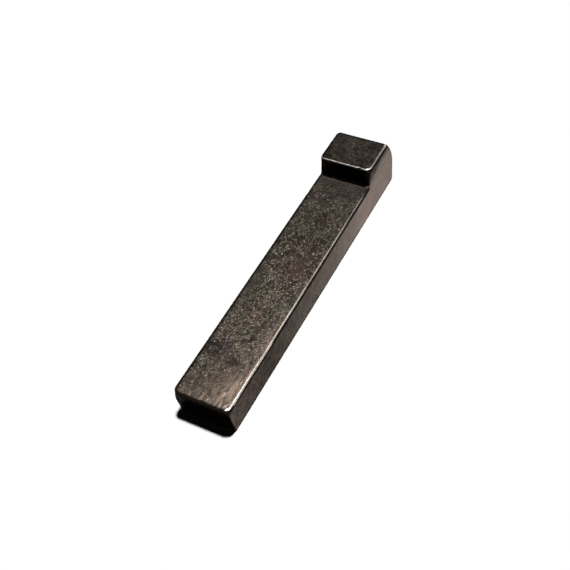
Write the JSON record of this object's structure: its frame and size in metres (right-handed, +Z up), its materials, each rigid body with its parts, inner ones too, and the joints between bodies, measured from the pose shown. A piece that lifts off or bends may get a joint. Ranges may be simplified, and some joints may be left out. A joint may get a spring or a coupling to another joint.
{
  "type": "gib head key",
  "caption": "Steel taper key with a raised gib head, driven into the keyway between a shaft and a hub to lock them together, and drawn out again by its head.",
  "frame": {"origin": "on the flat bottom face, halfway across the width, under the front face of the head", "axes": "+X along the bar from the head to the thin end, +Y across the width, +Z up from the bottom face"},
  "size_m": [0.076, 0.012, 0.0128],
  "materials": {
    "dark_steel": "satin"
  },
  "bodies": {
    "root": {"gib_head_key": "dark_steel"}
  },
  "joints": []
}
